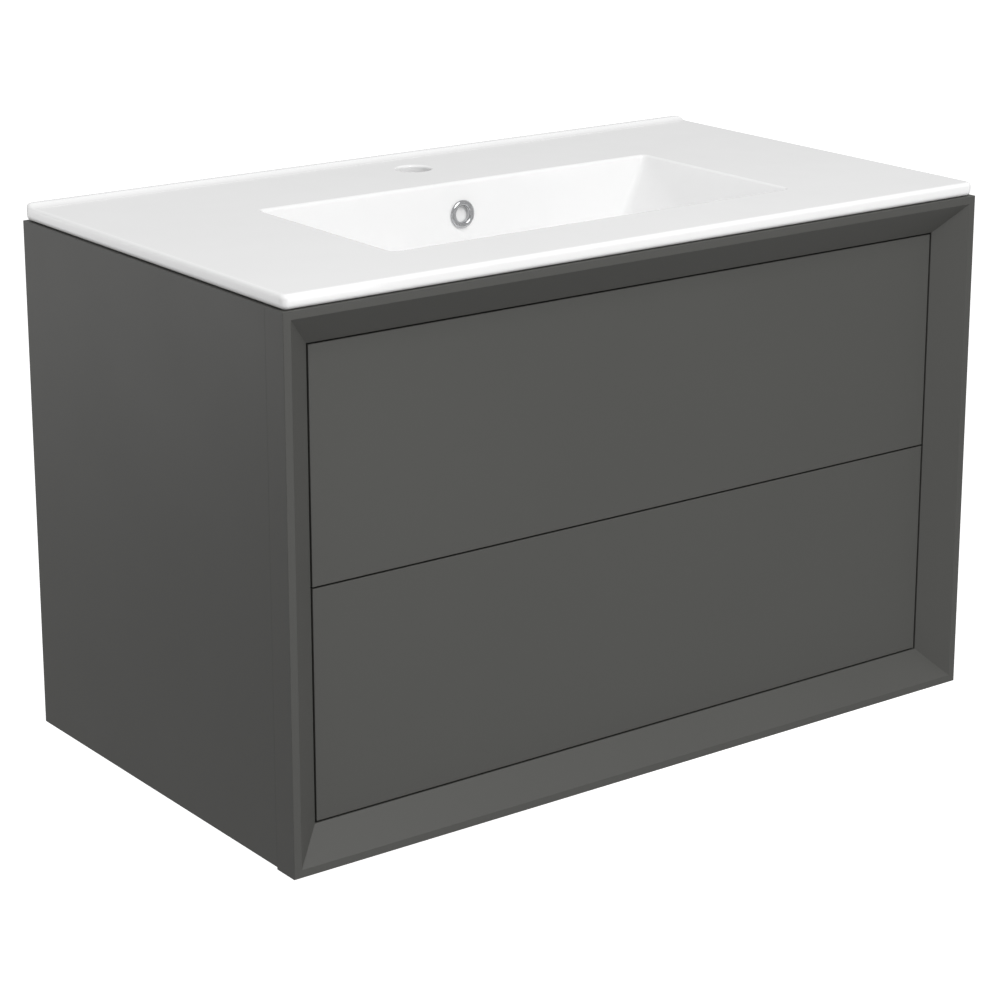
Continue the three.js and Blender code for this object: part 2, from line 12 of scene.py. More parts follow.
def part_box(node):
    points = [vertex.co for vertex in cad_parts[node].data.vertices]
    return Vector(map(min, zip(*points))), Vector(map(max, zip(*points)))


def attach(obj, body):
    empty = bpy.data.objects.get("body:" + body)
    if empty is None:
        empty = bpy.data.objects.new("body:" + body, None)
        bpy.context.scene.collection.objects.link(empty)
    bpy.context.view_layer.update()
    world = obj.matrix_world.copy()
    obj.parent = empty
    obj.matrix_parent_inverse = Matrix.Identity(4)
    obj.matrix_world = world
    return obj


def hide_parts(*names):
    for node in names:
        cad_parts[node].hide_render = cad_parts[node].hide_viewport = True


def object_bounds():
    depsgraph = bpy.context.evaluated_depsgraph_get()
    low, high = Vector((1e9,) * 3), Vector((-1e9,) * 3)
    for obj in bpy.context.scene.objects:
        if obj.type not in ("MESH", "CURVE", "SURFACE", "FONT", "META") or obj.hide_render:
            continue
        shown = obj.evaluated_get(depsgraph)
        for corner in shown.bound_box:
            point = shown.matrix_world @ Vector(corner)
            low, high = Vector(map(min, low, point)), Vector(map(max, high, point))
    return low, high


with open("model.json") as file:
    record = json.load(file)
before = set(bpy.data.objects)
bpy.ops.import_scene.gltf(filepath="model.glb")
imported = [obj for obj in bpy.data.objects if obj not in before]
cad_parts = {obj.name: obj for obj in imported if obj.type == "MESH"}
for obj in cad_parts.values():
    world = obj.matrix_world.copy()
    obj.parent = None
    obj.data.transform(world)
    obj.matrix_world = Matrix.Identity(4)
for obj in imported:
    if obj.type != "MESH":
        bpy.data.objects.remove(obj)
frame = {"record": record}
CAD_BOX = [list(corner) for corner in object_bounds()]
RECORD = frame["record"]
BODY_OF = {node: body for body, nodes in RECORD["behaviour"]["bodies"].items() for node in nodes}
MM = 0.001
LEFT_AND_RIGHT = {"left": -1, "right": 1}


# ---------------------------------------------------------------- mesh helpers


def link_piece(name, mesh, node, materials, replaced=True):
    """Makes an object of a mesh, riding with a CAD node's body and finished with the given materials."""
    piece = bpy.data.objects.new(name, mesh)
    bpy.context.scene.collection.objects.link(piece)
    for material in materials:
        mesh.materials.append(material)
    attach(piece, BODY_OF[node])
    if replaced:
        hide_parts(node)
    return piece


def mesh_from(bm, name, sharp_degrees=35):
    """A finished mesh with outward faces, smooth except across real corners."""
    bmesh.ops.recalc_face_normals(bm, faces=bm.faces)
    mesh = bpy.data.meshes.new(name)
    bm.to_mesh(mesh)
    bm.free()
    mesh.polygons.foreach_set("use_smooth", [True] * len(mesh.polygons))
    mesh.set_sharp_from_angle(angle=math.radians(sharp_degrees))
    return mesh


def weigh_normals(piece):
    """Keeps large flat faces flat beside their small rounded edges."""
    modifier = piece.modifiers.new("flat_faces", "WEIGHTED_NORMAL")
    modifier.mode = "FACE_AREA"
    modifier.weight = 100
    modifier.keep_sharp = True
    return piece


def add_box(bm, low, high, rounding=0.0, segments=3):
    """Adds a box between two corners, with all edges rounded. Returns its faces."""
    before = set(bm.faces)
    size = Vector(high) - Vector(low)
    middle = (Vector(high) + Vector(low)) / 2
    place = Matrix.Translation(middle) @ Matrix.Diagonal((*size, 1))
    made = bmesh.ops.create_cube(bm, size=1, matrix=place)
    if rounding:
        edges = {edge for vert in made["verts"] for edge in vert.link_edges}
        bmesh.ops.bevel(bm, geom=list(edges), offset=rounding, segments=segments, profile=0.5, affect="EDGES")
    return [face for face in bm.faces if face not in before]


def bridge(bm, loops, closed=True, material=0):
    """Quads between consecutive rows of vertices."""
    for row, following in zip(loops, loops[1:]):
        count = len(row)
        for i in range(count if closed else count - 1):
            j = (i + 1) % count
            corners = list(dict.fromkeys((row[i], row[j], following[j], following[i])))
            if len(corners) > 2:
                bm.faces.new(corners).material_index = material


def ring(bm, radius, height, count, centre=(0.0, 0.0)):
    """A circle of vertices in a level plane."""
    turns = [2 * math.pi * i / count for i in range(count)]
    return [
        bm.verts.new((centre[0] + radius * math.cos(t), centre[1] + radius * math.sin(t), height))
        for t in turns
    ]


def lathe(bm, profile, count, place=Matrix.Identity(4), closed=False, material=0):
    """Turns (radius, height) pairs about Z. An end at radius 0 becomes a cap."""
    rows = [ring(bm, max(radius, 1e-7), height, count) for radius, height in profile]
    verts = [vert for row in rows for vert in row]
    bridge(bm, rows + rows[:1] if closed else rows, material=material)
    bmesh.ops.transform(bm, matrix=place, verts=verts)
    if not closed:
        caps = [vert for row, (radius, _) in zip(rows, profile) if radius == 0 for vert in row]
        bmesh.ops.remove_doubles(bm, verts=caps, dist=1e-6)


def boolean(mesh, cutter, operation):
    """The mesh joined with or cut by another, which is removed afterwards."""
    target = bpy.data.objects.new("boolean_target", mesh)
    tool = bpy.data.objects.new("boolean_tool", cutter)
    for thing in (target, tool):
        bpy.context.scene.collection.objects.link(thing)
    modifier = target.modifiers.new("cut", "BOOLEAN")
    modifier.operation = operation
    modifier.solver = "EXACT"
    modifier.object = tool
    depsgraph = bpy.context.evaluated_depsgraph_get()
    made = bpy.data.meshes.new_from_object(target.evaluated_get(depsgraph))
    for thing in (target, tool):
        bpy.data.objects.remove(thing)
    return made


def weld(mesh, distance=1e-5):
    """Merges the almost coincident points that cutting leaves."""
    bm = bmesh.new()
    bm.from_mesh(mesh)
    bmesh.ops.remove_doubles(bm, verts=bm.verts, dist=distance)
    bmesh.ops.dissolve_degenerate(bm, edges=bm.edges, dist=distance)
    bm.to_mesh(mesh)
    bm.free()


def arc(centre, radius, start, end, steps):
    """Points on an arc, angles in degrees."""
    angles = [math.radians(start + (end - start) * i / steps) for i in range(steps + 1)]
    return [(centre[0] + radius * math.cos(a), centre[1] + radius * math.sin(a)) for a in angles]


# ---------------------------------------------------------------- materials


class Finish:
    """A Principled material with short calls for the nodes these finishes use."""

    def __init__(self, name, color, roughness, metallic=0.0):
        self.material = bpy.data.materials.new(name)
        self.material.use_nodes = True
        self.tree = self.material.node_tree
        self.shader = next(n for n in self.tree.nodes if n.type == "BSDF_PRINCIPLED")
        self.shader.inputs["Base Color"].default_value = (*color, 1)
        self.shader.inputs["Roughness"].default_value = roughness
        self.shader.inputs["Metallic"].default_value = metallic
        self.place = self.tree.nodes.new("ShaderNodeTexCoord").outputs["Object"]
        self.material.diffuse_color = (*color, 1)

    def stretched(self, scale):
        """Object coordinates scaled along each axis."""
        mapping = self.tree.nodes.new("ShaderNodeMapping")
        mapping.inputs["Scale"].default_value = scale
        self.tree.links.new(self.place, mapping.inputs["Vector"])
        return mapping.outputs["Vector"]

    def noise(self, scale, detail=2.0, stretch=None):
        node = self.tree.nodes.new("ShaderNodeTexNoise")
        node.inputs["Scale"].default_value = scale
        node.inputs["Detail"].default_value = detail
        self.tree.links.new(self.stretched(stretch) if stretch else self.place, node.inputs["Vector"])
        return node.outputs["Fac"]

    def ramp(self, source, low, high, start=0.3, end=0.7):
        """Maps a 0 to 1 value onto a range of numbers."""
        node = self.tree.nodes.new("ShaderNodeMapRange")
        for socket, value in zip(("From Min", "From Max", "To Min", "To Max"), (start, end, low, high)):
            node.inputs[socket].default_value = value
        self.tree.links.new(source, node.inputs["Value"])
        return node.outputs["Result"]

    def blend(self, factor, first, second):
        """A colour between two, by a factor."""
        node = self.tree.nodes.new("ShaderNodeMix")
        node.data_type = "RGBA"
        self.tree.links.new(factor, node.inputs["Factor"])
        for socket, value in (("A", first), ("B", second)):
            slot = next(s for s in node.inputs if s.name == socket and s.type == "RGBA")
            if isinstance(value, tuple):
                slot.default_value = (*value, 1)
            else:
                self.tree.links.new(value, slot)
        return next(s for s in node.outputs if s.type == "RGBA")

    def set_color(self, source):
        self.tree.links.new(source, self.shader.inputs["Base Color"])

    def set_roughness(self, source):
        self.tree.links.new(source, self.shader.inputs["Roughness"])

    def bump(self, source, depth, strength=1.0):
        """Adds surface relief; a second call stacks on the first."""
        node = self.tree.nodes.new("ShaderNodeBump")
        node.inputs["Distance"].default_value = depth
        node.inputs["Strength"].default_value = strength
        self.tree.links.new(source, node.inputs["Height"])
        normal = self.shader.inputs["Normal"]
        if normal.is_linked:
            self.tree.links.new(normal.links[0].from_socket, node.inputs["Normal"])
        self.tree.links.new(node.outputs["Normal"], normal)


def shade(color, factor):
    return tuple(channel * factor for channel in color)


def lacquer_finish():
    """Matte sprayed lacquer: a very fine orange peel, a trace of cloudiness and slightly polished patches."""
    color = (0.069, 0.069, 0.0642)
    finish = Finish("matte_anthracite_lacquer", color, 0.5)
    cloud = finish.noise(2.2, 3.0)
    finish.set_color(finish.blend(finish.ramp(cloud, 0, 1), shade(color, 0.97), shade(color, 1.03)))
    finish.set_roughness(finish.ramp(finish.noise(9, 2.0), 0.49, 0.53))
    finish.bump(finish.noise(900, 2.0), 0.00003, 0.5)
    finish.bump(finish.noise(3800, 1.0), 0.00001, 0.5)
    return finish.material


def melamine_finish(name, color, grain):
    """Board facing with a fine pressed texture, finer across than along."""
    finish = Finish(name, color, 0.55)
    fibre = finish.noise(90, 4.0, grain)
    finish.set_color(finish.blend(finish.ramp(fibre, 0, 1), shade(color, 0.94), shade(color, 1.05)))
    finish.set_roughness(finish.ramp(finish.noise(260, 2.0), 0.5, 0.64))
    finish.bump(finish.noise(700, 3.0, grain), 0.00008, 0.6)
    return finish.material


def chipboard_finish():
    """The raw edge of particle board: pale and dark flakes with small pores."""
    finish = Finish("raw_chipboard_edge", (0.42, 0.29, 0.17), 0.85)
    voronoi = finish.tree.nodes.new("ShaderNodeTexVoronoi")
    voronoi.inputs["Scale"].default_value = 420
    finish.tree.links.new(finish.stretched((0.45, 0.45, 1.0)), voronoi.inputs["Vector"])
    flakes = finish.ramp(voronoi.outputs["Distance"], 0, 1, 0.1, 0.8)
    base = finish.blend(flakes, (0.52, 0.37, 0.22), (0.25, 0.155, 0.08))
    finish.set_color(finish.blend(finish.ramp(finish.noise(900, 3.0), 0, 0.6), base, (0.6, 0.47, 0.31)))
    finish.bump(flakes, 0.0004, 0.7)
    return finish.material


def glaze_finish():
    """White sanitary glaze: glossy, with the very slight waviness of a fired surface."""
    color = (0.92, 0.92, 0.92)
    finish = Finish("white_glaze", color, 0.07)
    finish.shader.inputs["IOR"].default_value = 1.5
    cloud = finish.noise(9, 2.0)
    finish.set_color(finish.blend(finish.ramp(cloud, 0, 1), shade(color, 0.99), shade(color, 1.01)))
    finish.set_roughness(finish.ramp(finish.noise(35, 3.0), 0.05, 0.12))
    finish.bump(finish.noise(28, 1.0), 0.0002, 0.12)
    return finish.material


def bisque_finish():
    """The unglazed underside of the basin."""
    color = (0.66, 0.63, 0.57)
    finish = Finish("unglazed_ceramic", color, 0.8)
    grain = finish.noise(1500, 3.0)
    finish.set_color(finish.blend(finish.ramp(finish.noise(24, 4.0), 0, 1), shade(color, 0.9), shade(color, 1.06)))
    finish.bump(grain, 0.00015, 0.5)
    return finish.material


def chrome_finish():
    """Polished chrome with the faint haze that cleaning leaves."""
    color = (0.5, 0.505, 0.515)
    finish = Finish("polished_chrome", color, 0.12, 1.0)
    haze = finish.noise(300, 4.0)
    finish.set_roughness(finish.ramp(haze, 0.08, 0.2))
    finish.set_color(finish.blend(finish.ramp(haze, 0, 1), shade(color, 0.95), shade(color, 1.03)))
    return finish.material


def zinc_finish():
    """Bright zinc on rolled steel: long drawing lines and a faint, cloudy bloom."""
    color = (0.5, 0.52, 0.54)
    finish = Finish("zinc_plated_steel", color, 0.32, 1.0)
    lines = finish.noise(160, 3.0, (6.0, 0.12, 6.0))
    bloom = finish.noise(45, 3.0)
    finish.set_color(finish.blend(finish.ramp(bloom, 0, 1), shade(color, 0.94), shade(color, 1.05)))
    finish.set_roughness(finish.ramp(lines, 0.27, 0.38))
    finish.bump(lines, 0.00002, 0.4)
    return finish.material


def plastic_finish(name, color):
    """Moulded plastic with a fine spark-eroded texture."""
    finish = Finish(name, color, 0.5)
    grain = finish.noise(1400, 2.0)
    finish.set_color(finish.blend(finish.ramp(finish.noise(40, 3.0), 0, 1), shade(color, 0.95), shade(color, 1.05)))
    finish.set_roughness(finish.ramp(grain, 0.44, 0.58))
    finish.bump(grain, 0.00008, 0.5)
    return finish.material


LACQUER = lacquer_finish()
CARCASS = melamine_finish("anthracite_melamine", (0.06, 0.06, 0.056), (0.3, 1.0, 1.0))
DRAWER_BOARD = melamine_finish("light_grey_melamine", (0.47, 0.46, 0.435), (1.0, 0.15, 1.0))
RAW_EDGE = chipboard_finish()
GLAZE = glaze_finish()
BISQUE = bisque_finish()
CHROME = chrome_finish()
ZINC = zinc_finish()
GREY_PLASTIC = plastic_finish("grey_plastic", (0.235, 0.245, 0.255))
BLACK_PLASTIC = plastic_finish("black_plastic", (0.02, 0.02, 0.021))


# ---------------------------------------------------------------- outlines


def eased(corners, steps=3):
    """A closed outline whose corners (u, v, radius) are turned into arcs."""
    points = []
    for i, (u, v, radius) in enumerate(corners):
        here = Vector((u, v))
        if radius == 0:
            points.append(here)
            continue
        before = (Vector(corners[i - 1][:2]) - here).normalized()
        after = (Vector(corners[(i + 1) % len(corners)][:2]) - here).normalized()
        half = math.acos(max(-1, min(1, before.dot(after)))) / 2
        centre = here + (before + after).normalized() * radius / math.sin(half)
        start = here + before * radius / math.tan(half) - centre
        end = here + after * radius / math.tan(half) - centre
        turn = math.atan2(start.x * end.y - start.y * end.x, start.dot(end))
        points += [centre + Matrix.Rotation(turn * s / steps, 2) @ start for s in range(steps + 1)]
    return points


def loft(bm, rows, material=0):
    """A closed body through rows of points, with a flat cap at each end. Returns its vertices."""
    loops = [[bm.verts.new(point) for point in row] for row in rows]
    bridge(bm, loops, material=material)
    for row in (loops[0], loops[-1]):
        bm.faces.new(row).material_index = material
    return [vert for row in loops for vert in row]


def soften(bm, offset, segments=2, least_degrees=40):
    """Rounds every real edge of a body."""
    bm.normal_update()
    least = math.radians(least_degrees)
    edges = [edge for edge in bm.edges if edge.is_manifold and edge.calc_face_angle() > least]
    bmesh.ops.bevel(bm, geom=edges, offset=offset, segments=segments, profile=0.5, affect="EDGES",
                    clamp_overlap=True)


# ---------------------------------------------------------------- boards


def paint(bm, material, chosen):
    """Gives a material to the faces that a test chooses."""
    bm.normal_update()
    for face in bm.faces:
        if chosen(face):
            face.material_index = material


def faces_back(face):
    return face.normal.y > 0.9


def faces_up(face):
    return face.normal.z > 0.9


def add_board(node, finish, rounding=0.0005, raw=None, second=None, reach=0.0):
    """A board in the place of a CAD node, with eased edges. raw chooses the faces of a second finish, and
    reach closes the fitting gap in front of it."""
    low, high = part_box(node)
    bm = bmesh.new()
    add_box(bm, low - Vector((0, reach, 0)), high, rounding)
    materials = [finish]
    if raw:
        paint(bm, 1, raw)
        materials.append(second or RAW_EDGE)
    return weigh_normals(link_piece(f"{node}_piece", mesh_from(bm, node), node, materials))


NOTCH_CLEARANCE = 0.0004


def add_hanging_rail():
    """The rail at the wall, notched at its top corners for the wall hangers and their plates."""
    low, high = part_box("hanging_rail")
    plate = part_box("wall_plate_right")[0]
    shoulder = plate.z - NOTCH_CLEARANCE
    neck = plate.x - NOTCH_CLEARANCE
    outline = [
        (low.x, low.z),
        (high.x, low.z),
        (high.x, shoulder),
        (neck, shoulder),
        (neck, high.z),
        (-neck, high.z),
        (-neck, shoulder),
        (low.x, shoulder),
    ]
    bm = bmesh.new()
    loft(bm, [[(u, y, v) for u, v in outline] for y in (low.y, high.y)])
    soften(bm, 0.0005)
    paint(bm, 1, lambda face: face.normal.z > 0.9)
    mesh = mesh_from(bm, "hanging_rail")
    weigh_normals(link_piece("hanging_rail_piece", mesh, "hanging_rail", [CARCASS, RAW_EDGE]))


def add_carcass():
    for side in LEFT_AND_RIGHT:
        add_board(f"side_panel_{side}", LACQUER, 0.0003, faces_back, reach=0.0002)
    for node in ("bottom_panel", "front_rail"):
        add_board(node, CARCASS, 0.0005, faces_back)
    for node in ("lower_back_rail", "divider_rail"):
        add_board(node, CARCASS)
    add_hanging_rail()


# ---------------------------------------------------------------- front frame

FRAME_LIP = 0.0075
FRAME_BEVEL_DEPTH = 0.022
FRAME_EDGE = 0.0006
FRAME_CREASE = 0.0004
FRAME_HIDDEN_EDGE = 0.0001


def frame_section(face, thick):
    """Distance in from the outer edge and depth behind the front."""
    return eased([
        (0, 0, FRAME_EDGE),
        (FRAME_LIP, 0, FRAME_CREASE),
        (face, FRAME_BEVEL_DEPTH, FRAME_CREASE),
        (face, thick, FRAME_CREASE),
        (0, thick, FRAME_HIDDEN_EDGE),
    ], 4)


def add_frame():
    """Four lacquered members, cut at 45 degrees where they meet."""
    low = Vector(map(min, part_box("frame_left")[0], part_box("frame_bottom")[0]))
    high = Vector(map(max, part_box("frame_right")[1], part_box("frame_top")[1]))
    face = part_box("frame_left")[1].x - low.x
    section = frame_section(face, high.y - low.y)
    middle = Vector(((low.x + high.x) / 2, 0, (low.z + high.z) / 2))
    half = Vector(((high.x - low.x) / 2, 0, (high.z - low.z) / 2))
    sides = {
        "frame_top": (Vector((0, 0, 1)), Vector((1, 0, 0)), half.z, half.x),
        "frame_bottom": (Vector((0, 0, -1)), Vector((1, 0, 0)), half.z, half.x),
        "frame_left": (Vector((-1, 0, 0)), Vector((0, 0, 1)), half.x, half.z),
        "frame_right": (Vector((1, 0, 0)), Vector((0, 0, 1)), half.x, half.z),
    }
    for node, (outward, run, reach, half_length) in sides.items():
        rows = []
        for end in (-1, 1):
            rows.append([
                middle + outward * (reach - u) + run * end * (half_length - u) + Vector((0, low.y + v, 0))
                for u, v in section
            ])
        bm = bmesh.new()
        loft(bm, rows)
        weigh_normals(link_piece(f"{node}_piece", mesh_from(bm, node), node, [LACQUER]))


# ---------------------------------------------------------------- drawers

TRAP_HALF = 0.1
TRAP_DEPTH = 0.248
TRAP_WALL = 0.008
TRAP_RADIUS = 0.04
TRAP_CLEARANCE = 0.0002
TRAP_CORNER_STEPS = 10


def trap_path(half, front, radius, back):
    """A U open towards the wall, from its right end to its left end, in X and Y."""
    right = arc((half - radius, front + radius), radius, 0, -90, TRAP_CORNER_STEPS)
    left = arc((-half + radius, front + radius), radius, -90, -180, TRAP_CORNER_STEPS)
    return [(half, back), *right, *left, (-half, back)]


def add_drawer_boards(drawer):
    """A drawer's front and side boards."""
    add_board(f"{drawer}_front", LACQUER, 0.0005)
    for side in LEFT_AND_RIGHT:
        add_board(f"{drawer}_side_{side}", DRAWER_BOARD, 0.0006)


def add_upper_floor():
    """The upper drawer's floor, cut out for the trap."""
    low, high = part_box("upper_floor")
    inner_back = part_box("trap_surround")[1].y
    front = inner_back - TRAP_DEPTH - TRAP_CLEARANCE
    cut = trap_path(TRAP_HALF + TRAP_CLEARANCE, front, TRAP_RADIUS + TRAP_CLEARANCE, high.y)
    outline = [(high.x, high.y), *cut, (low.x, high.y), (low.x, low.y), (high.x, low.y)]
    bm = bmesh.new()
    loft(bm, [[(u, v, z) for u, v in outline] for z in (low.z, high.z)])
    soften(bm, 0.0004, least_degrees=60)
    weigh_normals(link_piece("upper_floor_piece", mesh_from(bm, "upper_floor"), "upper_floor", [DRAWER_BOARD]))


def add_trap_surround():
    """A moulded U wall with a rounded rim and a foot that lines the cut floor."""
    low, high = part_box("trap_surround")
    front = high.y - TRAP_DEPTH
    height = high.z - low.z
    skin = 0.0028
    middle = TRAP_WALL / 2
    foot = 0.0105
    rim = 0.007
    section = eased([
        (0, 0, 0.0005),
        (TRAP_WALL, 0, 0.0005),
        (TRAP_WALL, foot, 0.001),
        (middle + skin / 2, foot + 0.002, 0.0012),
        (middle + skin / 2, height - rim - 0.002, 0.0012),
        (TRAP_WALL, height - rim, 0.001),
        (TRAP_WALL, height, 0.0025),
        (0, height, 0.0025),
        (0, height - rim, 0.001),
        (middle - skin / 2, height - rim - 0.002, 0.0012),
        (middle - skin / 2, foot + 0.002, 0.0012),
        (0, foot, 0.001),
    ], 4)
    paths = [
        trap_path(TRAP_HALF - TRAP_WALL + s, front + TRAP_WALL - s, TRAP_RADIUS - TRAP_WALL + s, high.y)
        for s, _ in section
    ]
    rows = [
        [(*path[i], low.z + rise) for path, (_, rise) in zip(paths, section)]
        for i in range(len(paths[0]))
    ]
    bm = bmesh.new()
    loft(bm, rows)
    link_piece("trap_surround_piece", mesh_from(bm, "trap_surround", 40), "trap_surround", [GREY_PLASTIC])


def add_drawers():
    for drawer in ("upper", "lower"):
        add_drawer_boards(drawer)
    add_board("lower_floor", DRAWER_BOARD, 0.0004)
    for node in ("lower_back", "upper_back_left", "upper_back_right"):
        add_board(node, DRAWER_BOARD, 0.0006)
    add_upper_floor()
    add_trap_surround()


# ---------------------------------------------------------------- runners

CHANNELS = {"outer": (-1, 0.0013, 0.0026), "mid": (-1, 0.0012, 0.0022), "inner": (1, 0.0012, 0.002)}
SLOT_LENGTH = 0.014
SLOT_WIDTH = 0.0045


def channel_outline(back, lips, low, high, wall, bend):
    """A channel's section in X and Z, with its web at back and its flanges reaching to lips."""
    face = back + math.copysign(wall, lips - back)
    inner = bend - wall
    return eased([
        (back, low, bend),
        (lips, low, wall * 0.4),
        (lips, low + wall, wall * 0.4),
        (face, low + wall, inner),
        (face, high - wall, inner),
        (lips, high - wall, wall * 0.4),
        (lips, high, wall * 0.4),
        (back, high, bend),
    ], 4)


def slot_cutter(bm, x, y, z, length, width, through):
    """A long hole's cutter, lying along Y and passing through X."""
    radius = width / 2
    reach = length / 2 - radius
    front = arc((-reach, 0), radius, 90, 270, 8)
    back = arc((reach, 0), radius, -90, 90, 8)
    loft(bm, [[(x + side * through, y + u, z + v) for u, v in [*front, *back]] for side in (-1, 1)])


def add_runner(member, label, side):
    """One rolled member of a runner, slotted for its screws."""
    node = f"runner_{member}_{label}_{side}"
    reach, wall, bend = CHANNELS[member]
    low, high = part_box(node)
    sign = LEFT_AND_RIGHT[side]
    webs = {1: (high.x, low.x), -1: (low.x, high.x)}
    far, near = webs[sign]
    back, lips = (far, near) if reach < 0 else (near, far)
    outline = channel_outline(back, lips, low.z, high.z, wall, bend)
    bm = bmesh.new()
    loft(bm, [[(u, y, v) for u, v in outline] for y in (low.y, high.y)])
    mesh = mesh_from(bm, node)
    cutter = bmesh.new()
    middle = (low.z + high.z) / 2
    length = high.y - low.y
    for share in (0.1, 0.37, 0.64, 0.9):
        slot_cutter(cutter, back, low.y + share * length, middle, SLOT_LENGTH, SLOT_WIDTH, 2 * wall)
    mesh = boolean(mesh, mesh_from(cutter, f"{node}_slots"), "DIFFERENCE")
    mesh.set_sharp_from_angle(angle=math.radians(35))
    link_piece(f"{node}_piece", mesh, node, [ZINC])


def add_runners():
    for label in ("upper", "lower"):
        for side in LEFT_AND_RIGHT:
            add_board(f"runner_packer_{label}_{side}", CARCASS, 0.0005)
            for member in CHANNELS:
                add_runner(member, label, side)


# ---------------------------------------------------------------- wall hangers


RECESS_ARM = 0.55
RECESS_HALF = 0.12


def cross_screw(bm, centre, outward, radius, height):
    """A pan-head screw with a cross recess; outward is the way its head faces."""
    head = [(0, height), (radius * 0.45, height), (radius * 0.8, height * 0.82), (radius, height * 0.35),
            (radius, 0), (0, 0)]
    turn = Vector((0, 0, 1)).rotation_difference(Vector(outward)).to_matrix().to_4x4()
    place = Matrix.Translation(centre) @ turn
    lathe(bm, head, 24, place)
    return place


def recess_cutter(bm, place, radius, height):
    """A plus-shaped bar that cuts the recess of a screw head."""
    arm, half = radius * RECESS_ARM, radius * RECESS_HALF
    quarter = [(arm, -half), (arm, half), (half, half)]
    outline = []
    for turn in range(4):
        spin = Matrix.Rotation(math.radians(90 * turn), 2)
        outline += [spin @ Vector(point) for point in quarter]
    loft(bm, [[place @ Vector((u, v, z)) for u, v in outline] for z in (height * 0.5, height * 1.5)])


def add_screws(name, node, spots, outward, radius, height, finish):
    """A set of equal screws on one CAD node's body."""
    bm = bmesh.new()
    cutter = bmesh.new()
    for spot in spots:
        place = cross_screw(bm, spot, outward, radius, height)
        recess_cutter(cutter, place, radius, height)
    mesh = boolean(mesh_from(bm, name), mesh_from(cutter, f"{name}_recess"), "DIFFERENCE")
    mesh.set_sharp_from_angle(angle=math.radians(30))
    return link_piece(name, mesh, node, [finish], replaced=False)


HOOK_TOP_DROP = 0.013
HOOK_ARM = 0.006
HOOK_TIP_DROP = 0.029
HOOK_THICK = 0.0028
HOOK_HALF = 0.004
HANGER_DEPTH = 0.052


def add_hanger(side):
    """The housing on the side panel with its two adjusting screws, and the hook that reaches the wall."""
    node = f"hanger_{side}"
    low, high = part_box(node)
    back = low.y + HANGER_DEPTH
    bm = bmesh.new()
    add_box(bm, low, (high.x, back, high.z), 0.0016)
    middle = (low.x + high.x) / 2
    top = high.z - HOOK_TOP_DROP
    arm_low = top - HOOK_ARM
    outline = eased([
        (back - 0.004, arm_low, 0),
        (high.y - HOOK_THICK, arm_low, 0.0006),
        (high.y - HOOK_THICK, high.z - HOOK_TIP_DROP, 0.0008),
        (high.y, high.z - HOOK_TIP_DROP, 0.0008),
        (high.y, top, 0.002),
        (back - 0.004, top, 0),
    ])
    loft(bm, [[(middle + s * HOOK_HALF, u, v) for u, v in outline] for s in (-1, 1)])
    weigh_normals(link_piece(f"{node}_piece", mesh_from(bm, node), node, [ZINC]))
    spots = [(middle, low.y, low.z + share * (high.z - low.z)) for share in (0.3, 0.72)]
    add_screws(f"{node}_adjusters", node, spots, (0, -1, 0), 0.0042, 0.0022, ZINC)


PLATE_THICK = 0.0025
PLATE_TROUGH_RISE = 0.0205
PLATE_LIP_DROP = 0.005
PLATE_HOLE_RISE = 0.0098
PLATE_HOLE_RADIUS = 0.0034


def add_wall_plate(side):
    """The plate screwed to the wall, whose lower half folds forward into a trough for the hook."""
    node = f"wall_plate_{side}"
    low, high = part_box(node)
    trough = low.z + PLATE_TROUGH_RISE
    web = high.y - PLATE_THICK
    lip = low.y + PLATE_THICK
    bend = 0.0016
    outline = eased([
        (high.y, low.z, 0.0004),
        (high.y, high.z, 0.0004),
        (web, high.z, 0.0004),
        (web, trough + PLATE_THICK, 0.0006),
        (lip, trough + PLATE_THICK, 0.0006),
        (lip, high.z - PLATE_LIP_DROP, 0.0004),
        (low.y, high.z - PLATE_LIP_DROP, 0.0004),
        (low.y, trough, bend),
        (web, trough, 0.0006),
        (web, low.z, 0.0004),
    ])
    bm = bmesh.new()
    loft(bm, [[(x, u, v) for u, v in outline] for x in (low.x, high.x)])
    mesh = mesh_from(bm, node)
    cutter = bmesh.new()
    for share in (0.24, 0.76):
        x = low.x + share * (high.x - low.x)
        place = Matrix.Translation((x, web, low.z + PLATE_HOLE_RISE)) @ Matrix.Rotation(math.pi / 2, 4, "X")
        profile = [(0, PLATE_THICK * 2), (PLATE_HOLE_RADIUS, PLATE_THICK * 2), (PLATE_HOLE_RADIUS, -PLATE_THICK * 2),
                   (0, -PLATE_THICK * 2)]
        lathe(cutter, profile, 24, place)
    mesh = boolean(mesh, mesh_from(cutter, f"{node}_holes"), "DIFFERENCE")
    mesh.set_sharp_from_angle(angle=math.radians(35))
    link_piece(f"{node}_piece", mesh, node, [ZINC])


def add_hangers():
    for side in LEFT_AND_RIGHT:
        add_hanger(side)
        add_wall_plate(side)


# ---------------------------------------------------------------- basin

DECK = next(m for m in RECORD["mounts"] if m["name"] == "tap_seat")["pos_m"][2]
SLAB_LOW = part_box("side_panel_left")[1].z + 0.0002
SUPPORT_INSET = 0.007
RIM_TOP_ROUND = 0.004
RIM_LOW_INSET = 0.0045
RIM_LOW_ROUND = 0.005
CORNER_STEPS = 8
UPSTAND_RISE = 0.0035
UPSTAND_SWEEP = ((-0.0195, 0.0), (-0.0132, 0.0), (-0.0091, 0.003))
UPSTAND_CREST = ((-0.0086, 0.00328), (-0.008, 0.00345))
UPSTAND_STEPS = 14

